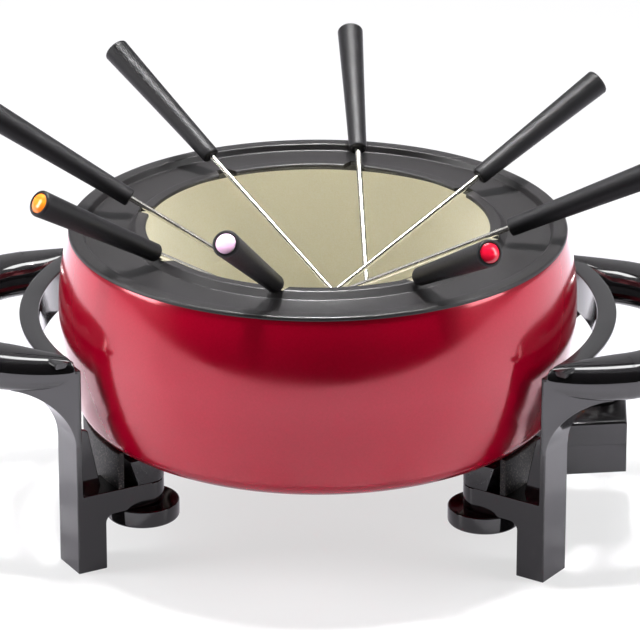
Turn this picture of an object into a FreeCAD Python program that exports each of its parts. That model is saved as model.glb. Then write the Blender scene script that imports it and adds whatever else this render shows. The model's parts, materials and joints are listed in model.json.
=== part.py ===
import FreeCAD, Part
import math
import os
import Sketcher
from FreeCAD import Placement, Rotation, Vector

# Electric fondue pot with a fork ring, eight forks, two stands and a plug-in temperature probe.
# Millimetres. The origin is on the table under the middle of the pot, +Z is up, the carrying
# handles lie along X, and -Y is the front. Angles are counted from +X towards +Y, in degrees.

doc = FreeCAD.newDocument("fondue_pot_set")
sheet = doc.addObject("Spreadsheet::Sheet", "dims")
pieces = []


# Sizes: a Size keeps a number and the spreadsheet formula that gives it, so that the same
# arithmetic both draws the first outline and binds it to the sheet.

class Size:
    def __init__(self, number, formula=None):
        self.number = float(number)
        self.formula = formula or "%.6g" % number

    def joined(self, sign, other, number):
        return Size(number, "(%s %s %s)" % (self.formula, sign, other.formula))

    def __add__(self, other):
        other = as_size(other)
        return self.joined("+", other, self.number + other.number)

    def __sub__(self, other):
        other = as_size(other)
        return self.joined("-", other, self.number - other.number)

    def __mul__(self, other):
        other = as_size(other)
        return self.joined("*", other, self.number * other.number)

    def __truediv__(self, other):
        other = as_size(other)
        return self.joined("/", other, self.number / other.number)

    def __neg__(self):
        return as_size(0) - self

    def __float__(self):
        return self.number


def as_size(value):
    return value if isinstance(value, Size) else Size(value)


def cell(alias, number):
    """Adds a named driving dimension to the sheet."""
    cell.row += 1
    sheet.set("A%d" % cell.row, alias)
    sheet.set("B%d" % cell.row, str(number))
    sheet.setAlias("B%d" % cell.row, alias)
    return Size(number, "dims." + alias)


cell.row = 0


def cosine(angle):
    return Size(math.cos(math.radians(angle.number)), "cos(%s * 1deg)" % angle.formula)


def sine(angle):
    return Size(math.sin(math.radians(angle.number)), "sin(%s * 1deg)" % angle.formula)


def bind(thing, **sizes):
    """Binds properties such as Radius, or Base_x for a place, to formulas of the sheet."""
    for name, value in sizes.items():
        path = name.replace("Base_", "Placement.Base.")
        thing.setExpression(path, as_size(value).formula)


# Sketches and features

def new_body(label):
    body = doc.addObject("PartDesign::Body", label)
    body.Label = label
    return body


def outline(body, label, plane, corners, offset=Placement()):
    """Closed outline on an origin plane. A corner is (x, y) or (x, y, radius): the radius makes
    the edge that leaves it an arc, turning left when positive and right when negative."""
    sketch = body.newObject("Sketcher::SketchObject", label)
    origin_plane = [part for part in body.Origin.OriginFeatures if part.Role == plane][0]
    sketch.AttachmentSupport = [(origin_plane, "")]
    sketch.MapMode = "FlatFace"
    sketch.AttachmentOffset = offset
    ends = []
    for corner, following in zip(corners, corners[1:] + corners[:1]):
        here = Vector(float(corner[0]), float(corner[1]), 0)
        there = Vector(float(following[0]), float(following[1]), 0)
        if len(corner) == 2:
            edge = sketch.addGeometry(Part.LineSegment(here, there), False)
            ends.append((edge, 1, 2))
            continue
        radius = as_size(corner[2])
        turn = math.copysign(1, radius.number)
        chord = there - here
        rise = math.sqrt(radius.number ** 2 - chord.Length ** 2 / 4)
        side = Vector(-chord.y, chord.x, 0).normalize()
        centre = (here + there) * 0.5 + side * (turn * rise)
        first, last = (here, there) if turn > 0 else (there, here)
        start = math.atan2(first.y - centre.y, first.x - centre.x)
        stop = math.atan2(last.y - centre.y, last.x - centre.x)
        stop += 2 * math.pi if stop < start else 0
        circle = Part.Circle(centre, Vector(0, 0, 1), abs(radius.number))
        edge = sketch.addGeometry(Part.ArcOfCircle(circle, start, stop), False)
        ends.append((edge, 1, 2) if turn > 0 else (edge, 2, 1))
        size = radius if turn > 0 else -radius
        number = sketch.addConstraint(Sketcher.Constraint("Radius", edge, abs(radius.number)))
        sketch.setExpression("Constraints[%d]" % number, size.formula)
    for (edge, _, end), (following, start, _) in zip(ends, ends[1:] + ends[:1]):
        sketch.addConstraint(Sketcher.Constraint("Coincident", edge, end, following, start))
    for (edge, start, _), corner in zip(ends, corners):
        for kind, place in (("DistanceX", corner[0]), ("DistanceY", corner[1])):
            place = as_size(place)
            if kind == "DistanceX" and place.number == 0:
                sketch.addConstraint(Sketcher.Constraint("PointOnObject", edge, start, -2))
                continue
            if kind == "DistanceY" and place.number == 0:
                sketch.addConstraint(Sketcher.Constraint("PointOnObject", edge, start, -1))
                continue
            number = sketch.addConstraint(Sketcher.Constraint(kind, edge, start, place.number))
            sketch.setExpression("Constraints[%d]" % number, place.formula)
    return sketch


def circles(body, label, places, radius, height):
    """Circles of one radius on a level plane at the given height."""
    sketch = body.newObject("Sketcher::SketchObject", label)
    level = [part for part in body.Origin.OriginFeatures if part.Role == "XY_Plane"][0]
    sketch.AttachmentSupport = [(level, "")]
    sketch.MapMode = "FlatFace"
    sketch.setExpression("AttachmentOffset.Base.z", as_size(height).formula)
    for across, along in places:
        centre = Vector(float(across), float(along), 0)
        edge = sketch.addGeometry(Part.Circle(centre, Vector(0, 0, 1), float(radius)), False)
        for kind, value in (("DistanceX", across), ("DistanceY", along)):
            number = sketch.addConstraint(Sketcher.Constraint(kind, edge, 3, float(value)))
            sketch.setExpression("Constraints[%d]" % number, as_size(value).formula)
        number = sketch.addConstraint(Sketcher.Constraint("Radius", edge, float(radius)))
        sketch.setExpression("Constraints[%d]" % number, as_size(radius).formula)
    return sketch


def turned(body, label, sketch, axis="V_Axis", angle=None, kind="PartDesign::Revolution"):
    """Revolves a sketch about one of its axes, all round or evenly about its own plane."""
    feature = body.newObject(kind, label)
    feature.Profile = sketch
    feature.ReferenceAxis = (sketch, [axis])
    if angle is None:
        feature.Angle = 360
    else:
        feature.Midplane = True
        feature.setExpression("Angle", as_size(angle).formula)
    return feature


def padded(body, label, sketch, length, symmetric=False, kind="PartDesign::Pad", back=False):
    feature = body.newObject(kind, label)
    feature.Profile = sketch
    feature.setExpression("Length", as_size(length).formula)
    if symmetric:
        feature.SideType = "Symmetric" if kind == "PartDesign::Pad" else feature.SideType
        feature.Midplane = True
    feature.Reversed = back
    return feature


def cylinder(label, radius, height, base, turn=Rotation()):
    """Cylinder along Z, or along another way when a rotation is given."""
    solid = doc.addObject("Part::Cylinder", label)
    solid.Placement = Placement(Vector(*[float(value) for value in base]), turn)
    bind(solid, Radius=radius, Height=height, Base_x=base[0], Base_y=base[1], Base_z=base[2])
    return solid


def block(label, corner, size):
    solid = doc.addObject("Part::Box", label)
    bind(solid, Length=size[0], Width=size[1], Height=size[2])
    bind(solid, Base_x=corner[0], Base_y=corner[1], Base_z=corner[2])
    return solid


def fused(label, parts):
    joined = doc.addObject("Part::MultiFuse", label)
    joined.Label = label
    joined.Shapes = parts
    joined.Refine = True
    return joined


def cut(label, base, tool):
    result = doc.addObject("Part::Cut", label)
    result.Label = label
    result.Base = base
    result.Tool = tool
    result.Refine = True
    return result


def keep(piece, node):
    """Names a finished piece after its node and puts it on the list to write out."""
    piece.Label = node
    pieces.append(piece)
    return piece


ALONG_X = Rotation(Vector(0, 1, 0), 90)
ALONG_Y = Rotation(Vector(1, 0, 0), -90)


# Driving dimensions

pot_wall = cell("pot_wall", 3.5)
pot_base = cell("pot_base", 54)
base_flat = cell("base_flat_radius", 100)
knee_radius = cell("knee_radius", 112.5)
knee_height = cell("knee_height", 63.1)
belly_radius = cell("belly_radius", 119.8)
belly_height = cell("belly_height", 104)
rim_radius = cell("rim_radius", 114.6)
rim_height = cell("rim_height", 142.3)

leg_angle = cell("leg_angle", 31.5)
leg_width = cell("leg_width", 19.5)
leg_outer = cell("leg_outer_radius", 130.1)
leg_skin = cell("leg_skin", 3)
foot_depth = cell("foot_depth", 14.5)
arm_low = cell("arm_underside", 26.5)
arm_high = cell("arm_top", 38)
screw_circle = cell("screw_circle", 92)
block_high = cell("spacer_top", 50)
screw_shank = cell("screw_shank_radius", 2)

ring_outer = cell("ring_outer_radius", 115)
ring_high = cell("ring_high", 144.1)
ring_plate = cell("ring_plate_top", 141)
ring_opening = cell("ring_opening_radius", 79.1)
lip_high = cell("ring_lip_top", 144.4)
notch_first = cell("first_notch_angle", 35.1)
notch_depth = cell("notch_depth", 5.5)
notch_mouth = cell("notch_mouth", 9.6)
notch_floor = cell("notch_floor_width", 5.2)

element_circle = cell("element_circle", 71)
element_tube = cell("element_tube_radius", 3.25)
element_height = cell("element_height", 49)
terminal_angle = cell("terminal_angle", 13)
pin_radius = cell("terminal_pin_radius", 2.5)


# Pot: cast aluminium bowl with a rolled rim land, four bosses for the stands and a boss ring that
# holds the heating element in a groove. Each arc of the inside is the outside less the wall.

pot_body = new_body("pot_casting")
knee_arc = cell("knee_arc", 11.5)
side_arc = cell("side_arc", 170)
shoulder_arc = cell("shoulder_arc", 125)
inner_flat = base_flat - pot_wall * 0.6
inner_knee = (knee_radius - pot_wall, knee_height + pot_wall * 0.6)
bowl = outline(pot_body, "pot_section", "XZ_Plane", [
    (0, pot_base),
    (base_flat, pot_base, knee_arc + 1.5),
    (knee_radius, knee_height, side_arc),
    (belly_radius, belly_height, shoulder_arc),
    (rim_radius, rim_height),
    (rim_radius - pot_wall - 0.6, rim_height, -(shoulder_arc - pot_wall)),
    (belly_radius - pot_wall, belly_height, -(side_arc - pot_wall)),
    (inner_knee[0], inner_knee[1], -(knee_arc + 1.5)),
    (inner_flat, pot_base + pot_wall),
    (0, pot_base + pot_wall),
])
turned(pot_body, "pot_bowl", bowl)
boss_in = element_circle - 9
boss_out = element_circle + 9
groove = element_tube + 0.15
boss_low = element_height - 4
boss_section = outline(pot_body, "element_boss_section", "XZ_Plane", [
    (boss_in, boss_low), (element_circle - groove, boss_low),
    (element_circle - groove, element_height + groove),
    (element_circle + groove, element_height + groove),
    (element_circle + groove, boss_low), (boss_out, boss_low),
    (boss_out, pot_base + 1), (boss_in, pot_base + 1),
])
turned(pot_body, "element_boss", boss_section)
boss_places = []
for side in (1, -1):
    for hand in (1, -1):
        across = screw_circle * cosine(leg_angle) * side
        boss_places.append((across, screw_circle * sine(leg_angle) * hand))
mount_boss = circles(pot_body, "mount_boss_circles", boss_places, 7.5, block_high)
padded(pot_body, "mount_bosses", mount_boss, pot_base - block_high + 1)
screw_hole = circles(pot_body, "boss_hole_circles", boss_places, screw_shank, block_high)
padded(pot_body, "boss_holes", screw_hole, 5.5, kind="PartDesign::Pocket", back=True)
tail_y = element_circle * sine(terminal_angle)
tail_x = element_circle * cosine(terminal_angle)
tail_slots = []
for hand in (1, -1):
    corner = (tail_x, tail_y * hand - groove, boss_low - 1)
    tail_slots.append(block("tail_slot", corner, (16, groove * 2, groove + 5)))
guard_screw_x = as_size(93)
guard_screw_y = as_size(30.5)
guard_screw_radius = as_size(1.5)
for hand in (1, -1):
    place = (guard_screw_x, guard_screw_y * hand, pot_base - 1)
    tail_slots.append(cylinder("guard_screw_tapping", guard_screw_radius, 3.5, place))
keep(cut("pot", pot_body, fused("tail_slots", tail_slots)), "pot")


# Heating element: one sheathed tube bent to a ring, with two cold tails that run out to the plug

ring_tube = doc.addObject("Part::Torus", "element_ring")
bind(ring_tube, Radius1=element_circle, Radius2=element_tube, Base_z=element_height)
bind(ring_tube, Angle3=as_size(360) - terminal_angle * 2)
ring_tube.setExpression("Placement.Rotation.Angle", terminal_angle.formula)
tail_end = as_size(98)
tube_parts = [ring_tube]
for hand in (1, -1):
    start = (tail_x, tail_y * hand, element_height)
    elbow = doc.addObject("Part::Sphere", "element_elbow")
    bind(elbow, Radius=element_tube, Base_x=start[0], Base_y=start[1], Base_z=start[2])
    tube_parts += [elbow, cylinder("element_tail", element_tube, tail_end - tail_x, start, ALONG_X)]
keep(fused("heating_element", tube_parts), "heating_element")

insulator_radius = cell("insulator_radius", 4.7)
insulator_start = as_size(88)
for node, radius, start, length, bore in (
        ("terminal_insulators", insulator_radius, insulator_start, 10, element_tube),
        ("terminal_pins", pin_radius, tail_end, 27, None)):
    group = []
    for hand in (1, -1):
        place = (start, tail_y * hand, element_height)
        rod = cylinder(node + "_rod", radius, length, place, ALONG_X)
        if bore is not None:
            hole = cylinder(node + "_bore", bore, length, place, ALONG_X)
            rod = cut(node + "_sleeve", rod, hole)
        group.append(rod)
    keep(fused(node, group), node)


# Plug guard: pressed trough under the base, open outwards, that steers the probe onto its pins
# and hangs from two ears

guard_start = as_size(86)
guard_length = as_size(20)
guard_half = as_size(27)
guard_low = as_size(40)
guard_skin = as_size(1.5)
trough = block("guard_trough", (guard_start, -guard_half, guard_low),
               (guard_length, guard_half * 2, pot_base - guard_low))
ears = block("guard_ears", (guard_start + 2, -guard_half - 7, pot_base - guard_skin),
             (10, guard_half * 2 + 14, guard_skin))
inside = block("guard_inside",
               (guard_start + guard_skin, -guard_half + guard_skin, guard_low + guard_skin),
               (guard_length, (guard_half - guard_skin) * 2, pot_base - guard_low))
guard_holes = [inside, cylinder("guard_sensor_hole", 4.5, 6,
                                (guard_start - 2, 0, element_height), ALONG_X)]
guard_screws = []
for hand in (1, -1):
    guard_holes.append(cylinder("guard_tail_hole", insulator_radius, 6,
                                (guard_start - 2, tail_y * hand, element_height), ALONG_X))
    place = (guard_screw_x, guard_screw_y * hand, pot_base - guard_skin)
    guard_holes.append(cylinder("guard_screw_hole", guard_screw_radius, 4, place))
    guard_screws.append(cylinder("guard_screw_shank", guard_screw_radius, 4, place))
    head_place = (guard_screw_x, guard_screw_y * hand, pot_base - guard_skin - 2)
    guard_screws.append(cylinder("guard_screw_head", guard_screw_radius + 1.3, 2, head_place))
keep(cut("plug_guard", fused("guard_solid", [trough, ears]),
         fused("guard_openings", guard_holes)), "plug_guard")
keep(fused("guard_screws", guard_screws), "guard_screws")


# Fork ring: cast disc that stands on the rim, with a raised outer band, a sunken plate, a thin
# raised lip round the opening, cut through by the notches, and a short skirt that centres it
# inside the pot

ring_body = new_body("fork_ring_casting")
skirt_out = cell("ring_skirt_radius", 109.7)
skirt_low = cell("ring_skirt_low", 133)
ring_under = ring_plate - 2.6
lip_under = lip_high - 2
band_in = ring_outer - 7
ring_section = outline(ring_body, "ring_section", "XZ_Plane", [
    (ring_outer - 0.3, rim_height), (ring_outer, ring_high - 1.2, as_size(1.2)),
    (ring_outer - 1.2, ring_high), (band_in + 0.8, ring_high), (band_in, ring_high - 0.8),
    (band_in - 0.8, ring_plate), (as_size(86.6), ring_plate), (as_size(84), lip_high),
    (ring_opening + 0.8, lip_high), (ring_opening, lip_high - 0.8),
    (ring_opening, lip_under), (as_size(85), lip_under), (as_size(87.6), ring_under),
    (skirt_out - 2.5, ring_under), (skirt_out - 2.5, skirt_low),
    (skirt_out, skirt_low), (skirt_out, rim_height),
])
turned(ring_body, "ring_disc", ring_section)
turn_to_notch = Placement(Vector(), Rotation(Vector(0, 0, 1), float(notch_first)))
notch_end = ring_opening + notch_depth
notch_half = notch_mouth / 2
notch_outline = outline(ring_body, "notch_outline", "XY_Plane", [
    (ring_opening - 3, -notch_half - 0.6), (ring_opening, -notch_half),
    (notch_end, -notch_floor / 2), (notch_end, notch_floor / 2),
    (ring_opening, notch_half), (ring_opening - 3, notch_half + 0.6),
], turn_to_notch)
notch_outline.setExpression("AttachmentOffset.Base.z", ring_plate.formula)
notch = padded(ring_body, "notch", notch_outline, 8, kind="PartDesign::Pocket", back=True)
notches = ring_body.newObject("PartDesign::PolarPattern", "notches")
notches.Originals = [notch]
notches.Axis = (ring_section, ["V_Axis"])
notches.Angle = 360
notches.Occurrences = 8
ring_body.Tip = notches
keep(ring_body, "fork_ring")


# Stands: two glossy phenolic mouldings, the left one the right one turned half round. Each has a
# curved ledge with a skirt, a low wall under the bowl, two legs with arms and ribs, and a D-shaped
# carrying handle that grows out of the tops of the legs. The right one has a window for the probe.

ledge_outer = cell("ledge_outer_radius", 138)
ledge_inner = cell("ledge_inner_radius", 128.9)
ledge_high = cell("ledge_top", 103.8)
ledge_skin = cell("ledge_skin", 2.3)
skirt_depth = cell("ledge_skirt_depth", 19.5)
wall_inner = cell("low_wall_inner_radius", 106.5)
wall_high = cell("low_wall_top", 55.5)
loop_height = cell("handle_height", 94.9)
loop_half_width = cell("handle_half_width", 12)
loop_half_depth = cell("handle_half_depth", 9.6)
loop_reach = cell("handle_centre_reach", 171)
loop_bend = cell("handle_bend_radius", 44)
root_x = cell("handle_root_x", 108.5)
root_y = cell("handle_root_y", 67.5)
loop_splay = cell("handle_splay_angle", 16.8)


def handle_loop(name):
    """D-shaped handle: an oval section swept out from one leg, round the end and back."""
    splay = math.radians(float(loop_splay))
    turn_left = math.pi / 2 - splay
    reach, bend = float(loop_reach), float(loop_bend)
    root = Vector(float(root_x), -float(root_y), float(loop_height))
    heading = Vector(math.cos(splay), math.sin(splay), 0)
    corner = root + heading * ((reach - root.x) / heading.x)
    back = bend * math.tan(turn_left / 2)
    bend_start = corner - heading * back
    bend_end = Vector(reach, corner.y + back, root.z)
    centre = Vector(reach - bend, bend_end.y, root.z)
    halfway = (bend_start + bend_end) * 0.5 - centre
    bend_middle = centre + halfway.normalize() * bend
    flip = [Vector(point.x, -point.y, point.z)
            for point in (bend_end, bend_middle, bend_start, root)]
    path = Part.Wire([
        Part.LineSegment(root, bend_start).toShape(),
        Part.Arc(bend_start, bend_middle, bend_end).toShape(),
        Part.LineSegment(bend_end, flip[0]).toShape(),
        Part.Arc(flip[0], flip[1], flip[2]).toShape(),
        Part.LineSegment(flip[2], flip[3]).toShape(),
    ])
    across = Vector(-heading.y, heading.x, 0)
    wide, deep = float(loop_half_width), float(loop_half_depth)
    oval = Part.Ellipse(root + across * wide, root + Vector(0, 0, deep), root)
    section = Part.Wire([oval.toShape()])
    loop = doc.addObject("Part::Feature", name + "_loop")
    loop.Shape = path.makePipeShell([section], True, False)
    return loop


def leg(name, angle):
    """Leg and arm outline in the upright plane through the pot's axis, padded to the leg's width,
    with the round end of the arm and the thin rib in the corner."""
    turned_plane = Placement(Vector(), Rotation(Vector(0, 1, 0), angle))
    body = new_body(name + "_leg")
    inner_face = leg_outer - foot_depth
    round_in = 4
    leg_outline = outline(body, name + "_leg_outline", "XZ_Plane", [
        (leg_outer, 0), (leg_outer, loop_height), (leg_outer - leg_skin, loop_height),
        (leg_outer - leg_skin, arm_high), (screw_circle, arm_high), (screw_circle, arm_low),
        (inner_face - round_in, arm_low, as_size(-round_in)),
        (inner_face, arm_low - round_in), (inner_face, 0),
    ], turned_plane)
    padded(body, name + "_leg_pad", leg_outline, leg_width, symmetric=True)
    rib_outline = outline(body, name + "_rib_outline", "XZ_Plane", [
        (leg_outer - 1, arm_high - 1), (leg_outer - 1, as_size(70)), (as_size(120), as_size(66)),
        (as_size(114), arm_high - 1),
    ], turned_plane)
    padded(body, name + "_rib", rib_outline, 2.6, symmetric=True)
    radians = math.radians(angle)
    arm_end = cylinder(name + "_arm_end", leg_width / 2, arm_high - arm_low,
                       (float(screw_circle) * math.cos(radians),
                        float(screw_circle) * math.sin(radians), arm_low))
    screw_bore = cylinder(name + "_screw_bore", screw_shank + 0.2, 20,
                          (float(screw_circle) * math.cos(radians),
                           float(screw_circle) * math.sin(radians), arm_low - 4))
    return [body, arm_end], screw_bore


def root_end(name, hand):
    """Round end of the handle behind the leg, and the web under it, whose lower edge curves out
    from the leg to the handle."""
    body = new_body(name + "_gusset")
    web = outline(body, name + "_gusset_outline", "XZ_Plane", [
        (0, loop_height), (0, loop_height - 31.4),
        (2, loop_height - 28.4, as_size(-24)), (6, loop_height - 14.5, as_size(-70)),
        (31, loop_height - 8), (31, loop_height),
    ])
    padded(body, name + "_gusset_pad", web, leg_width - 3, symmetric=True)
    dome = doc.addObject("Part::Ellipsoid", name + "_dome")
    bind(dome, Radius1=loop_half_depth, Radius2=loop_half_width / 2, Radius3=loop_half_width)
    splay = Rotation(Vector(0, 0, 1), hand * float(loop_splay))
    root = Vector(float(root_x), -hand * float(root_y), 0)
    body.Placement = Placement(root, splay)
    above = splay.multVec(Vector(1, 0, float(loop_height)))
    dome.Placement = Placement(root + above, splay)
    return [body, dome]


def stand(node, window):
    """One whole stand on the +X side."""
    ledge = new_body(node + "_ledge")
    ledge_section = outline(ledge, node + "_ledge_section", "XZ_Plane", [
        (ledge_inner, ledge_high - skirt_depth), (ledge_inner + ledge_skin, ledge_high - skirt_depth),
        (ledge_inner + ledge_skin, ledge_high - ledge_skin), (ledge_outer, ledge_high - ledge_skin),
        (ledge_outer, ledge_high), (ledge_inner, ledge_high),
    ])
    turned(ledge, node + "_ledge_arc", ledge_section, angle=leg_angle * 2 + 5)
    wall = new_body(node + "_wall")
    wall_section = outline(wall, node + "_wall_section", "XZ_Plane", [
        (wall_inner, arm_low), (wall_inner + leg_skin, arm_low),
        (wall_inner + leg_skin, wall_high), (wall_inner, wall_high),
    ])
    turned(wall, node + "_wall_arc", wall_section, angle=leg_angle * 2 + 10)
    solids = [ledge, wall, handle_loop(node)]
    solids += root_end(node + "_front", 1) + root_end(node + "_rear", -1)
    bores = []
    for name, angle in (("_front", -float(leg_angle)), ("_rear", float(leg_angle))):
        leg_parts, bore = leg(node + name, angle)
        solids += leg_parts
        bores.append(bore)
    if window:
        bores.append(block(node + "_window", (wall_inner - 5, -35.5, 33), (12, 71, 40)))
    return cut(node, fused(node + "_solid", solids), fused(node + "_openings", bores))


keep(stand("right_stand", True), "right_stand")
left = keep(stand("left_stand", False), "left_stand")
left.Placement = Placement(Vector(), Rotation(Vector(0, 0, 1), 180))


# Spacer blocks, retaining caps and screws: each arm is clamped between a block under the pot's boss
# and a round cap, by one screw up the middle

cap_radius = cell("cap_radius", 16.8)
cap_low = cell("cap_low", 18)
stand_screws = []
for node_end, angle in (("right_front", -float(leg_angle)), ("right_rear", float(leg_angle)),
                        ("left_rear", 180 - float(leg_angle)), ("left_front", 180 + float(leg_angle))):
    turn = Rotation(Vector(0, 0, 1), angle)
    middle = turn.multVec(Vector(float(screw_circle), 0, 0))
    body = new_body("spacer_outline_" + node_end)
    block_outline = outline(body, "spacer_section_" + node_end, "XZ_Plane", [
        (screw_circle, arm_high), (screw_circle + 7, arm_high),
        (screw_circle + 11, block_high), (screw_circle, block_high),
    ])
    padded(body, "spacer_pad_" + node_end, block_outline, leg_width, symmetric=True)
    round_end = cylinder("spacer_end_" + node_end, leg_width / 2, block_high - arm_high,
                         (screw_circle, 0, arm_high))
    bore = cylinder("spacer_bore_" + node_end, screw_shank + 0.2, 40, (screw_circle, 0, arm_low))
    spacer = cut("spacer_" + node_end, fused("spacer_solid_" + node_end, [body, round_end]), bore)
    spacer.Placement = Placement(Vector(), turn)
    keep(spacer, "spacer_" + node_end)
    cap = cylinder("cap_disc_" + node_end, cap_radius, arm_low - cap_low, (screw_circle, 0, cap_low))
    recess = cylinder("cap_recess_" + node_end, 5.5, 4, (screw_circle, 0, cap_low))
    cap_bore = cylinder("cap_bore_" + node_end, screw_shank + 0.2, 12, (screw_circle, 0, cap_low))
    tools = fused("cap_openings_" + node_end, [recess, cap_bore])
    retaining_cap = cut("retaining_cap_" + node_end, cap, tools)
    retaining_cap.Placement = Placement(Vector(), turn)
    keep(retaining_cap, "retaining_cap_" + node_end)
    place = (middle.x, middle.y, cap_low + 4)
    stand_screws.append(cylinder("screw_shank_" + node_end, screw_shank - 0.02, 32.5, place))
    head_place = (middle.x, middle.y, cap_low + 1.2)
    stand_screws.append(cylinder("screw_head_" + node_end, 4.5, 2.8, head_place))
keep(fused("stand_screws", stand_screws), "stand_screws")


# Forks: a stainless rod bent to two tines, a tapered handle moulded on it, and a colour button

handle_length = cell("fork_handle_length", 75)
handle_thin = cell("fork_handle_thin_radius", 4.25)
handle_thick = cell("fork_handle_thick_radius", 6.1)
rod_radius = cell("fork_rod_radius", 1.3)
rod_length = cell("fork_rod_length", 158)
tine_length = cell("tine_length", 24)
tine_gap = cell("tine_half_gap", 2.5)
tine_radius = cell("tine_radius", 0.85)
button_radius = cell("button_radius", 4.5)
dome_rise = cell("button_dome_rise", 0.9)
dome_radius = (button_radius * button_radius / dome_rise + dome_rise) / 2
rest_height = cell("fork_rest_height", 146.6)

# Each fork: its notch's turn from the first, its lean off the notch, its slope, its roll about its
# own axis, how far the handle stops short of the notch, its sideways shift in the notch, and its
# rise above the rest height
FORKS = {
    "fork_1": (135, 5.2, 30.9, 30, 4.8, 0.1, 0.7),
    "fork_2": (90, 14.1, 31.0, 0, 5.9, 1.3, 0.5),
    "fork_3": (45, 15.4, 30.3, 0, 4.7, -1.1, 0.1),
    "fork_4": (0, -3.1, 28.8, 45, 4.7, -0.7, 1.0),
    "fork_5": (315, 5.6, 24.5, 0, 5.2, -0.1, 0.7),
    "fork_6": (180, 5.9, 31.5, 60, 1.3, -1.2, 0.1),
    "fork_7": (225, -7.2, 34.1, 0, 1.5, -0.2, 0.2),
    "fork_8": (270, -6.9, 27.5, 15, 1.3, -0.8, -0.3),
}


def fork_place(notch_turn, lean, slope, roll, shift, rise):
    """Where the fork's axis crosses its notch, turned so that local +X runs out along the fork."""
    notch_angle = Rotation(Vector(0, 0, 1), float(notch_first) + notch_turn)
    base = notch_angle.multVec(Vector(float(notch_end), shift, float(rest_height) + rise))
    heading = Rotation(Vector(0, 0, 1), float(notch_first) + notch_turn + lean)
    tilt = Rotation(Vector(0, 1, 0), -slope).multiply(Rotation(Vector(1, 0, 0), roll))
    return Placement(base, heading.multiply(tilt))


for node, (notch_turn, lean, slope, roll, seat, shift, rise) in FORKS.items():
    place = fork_place(notch_turn, lean, slope, roll, shift, rise)
    tip = as_size(seat) - rod_length
    bow = tip + tine_length
    bow_ring = doc.addObject("Part::Torus", node + "_bow")
    bow_ring.Placement.Rotation = Rotation(Vector(0, 0, 1), -90)
    bind(bow_ring, Radius1=tine_gap, Radius2=tine_radius, Angle3=180, Base_x=bow)
    inside_handle = handle_length - 12
    rod_start = bow + tine_gap - 0.4
    fork_parts = [bow_ring, cylinder(node + "_rod", rod_radius, as_size(seat) + inside_handle - rod_start,
                                     (rod_start, 0, 0), ALONG_X)]
    point = as_size(3)
    for hand in (1, -1):
        straight = cylinder(node + "_tine", tine_radius, tine_length - point,
                            (tip + point, tine_gap * hand, 0), ALONG_X)
        taper = doc.addObject("Part::Cone", node + "_tine_point")
        taper.Placement.Rotation = ALONG_X
        bind(taper, Radius1=0.2, Radius2=tine_radius, Height=point, Base_x=tip)
        bind(taper, Base_y=tine_gap * hand)
        fork_parts += [straight, taper]
    rod = fused(node + "_shaft", fork_parts)
    rod.Placement = place
    keep(rod, node + "_shaft")
    handle_body = new_body(node + "_grip")
    seat = as_size(seat)
    recess = button_radius + 0.05
    handle_outline = outline(handle_body, node + "_grip_section", "XY_Plane", [
        (seat, rod_radius), (seat + inside_handle, rod_radius),
        (seat + inside_handle, 0), (seat + handle_length - 5, 0),
        (seat + handle_length - 5, recess), (seat + handle_length, recess),
        (seat + handle_length, handle_thick - 1.2, as_size(1.2)),
        (seat + handle_length - 1.2, handle_thick), (seat + 1, handle_thin, as_size(1)),
        (seat, handle_thin - 1),
    ])
    turned(handle_body, node + "_grip_turned", handle_outline, axis="H_Axis")
    handle_body.Placement = place
    keep(handle_body, node + "_handle")
    button_body = new_body(node + "_cap")
    button_outline = outline(button_body, node + "_cap_section", "XY_Plane", [
        (seat + handle_length - 5, 0), (seat + handle_length - 5, button_radius),
        (seat + handle_length, button_radius, -dome_radius),
        (seat + handle_length + dome_rise, 0),
    ])
    turned(button_body, node + "_cap_turned", button_outline, axis="H_Axis")
    button_body.Placement = place
    keep(button_body, node + "_button")


# Temperature probe: two case shells screwed together round a sensor stem, contact sleeves, the
# thermostat, a dial on top, an indicator lamp and a power inlet on the rear side

case_low = cell("case_low", 35)
case_high = cell("case_high", 60.5)
case_inner = cell("case_inner_x", 113.5)
case_outer = cell("case_outer_x", 143.5)
case_wide = cell("case_half_width_inner", 33)
case_narrow = cell("case_half_width_outer", 28)
case_skin = cell("case_skin", 2.2)
case_split = element_height
stem_radius = cell("sensor_stem_radius", 4)
dial_x = cell("dial_x", 129)
dial_radius = cell("dial_radius", 11.5)
dial_shaft_radius = cell("dial_shaft_radius", 3)


def wedge(label, low, high, inset):
    """Upright prism with the case's tapered plan, drawn in by an inset all round."""
    body = new_body(label)
    inner_half = case_wide - inset
    outer_half = case_narrow - inset
    plan = outline(body, label + "_plan", "XY_Plane", [
        (case_inner + inset, -inner_half), (case_outer - inset, -outer_half),
        (case_outer - inset, outer_half), (case_inner + inset, inner_half),
    ])
    plan.setExpression("AttachmentOffset.Base.z", as_size(low).formula)
    padded(body, label + "_pad", plan, as_size(high) - low)
    return body


def plug_holes(label):
    """Ways through the case's inner wall for the two terminal pins and the sensor stem."""
    start = case_inner - 1
    holes = [cylinder(label + "_stem_hole", stem_radius, 5, (start, 0, element_height), ALONG_X)]
    for hand in (1, -1):
        place = (start, tail_y * hand, element_height)
        holes.append(cylinder(label + "_pin_hole", pin_radius + 0.9, 5, place, ALONG_X))
    return holes


def inlet_room(label):
    return block(label, (dial_x - 6.3, 20.8, 42), (12.6, 20, 13))


case_screw_places = []
for hand in (1, -1):
    case_screw_places += [(case_inner + 5, (case_wide - 6) * hand),
                          (case_outer - 4.5, (case_narrow - 6) * hand)]
post_radius = as_size(3.2)
thread_radius = as_size(1.25)
no_gap = as_size(0)

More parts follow.
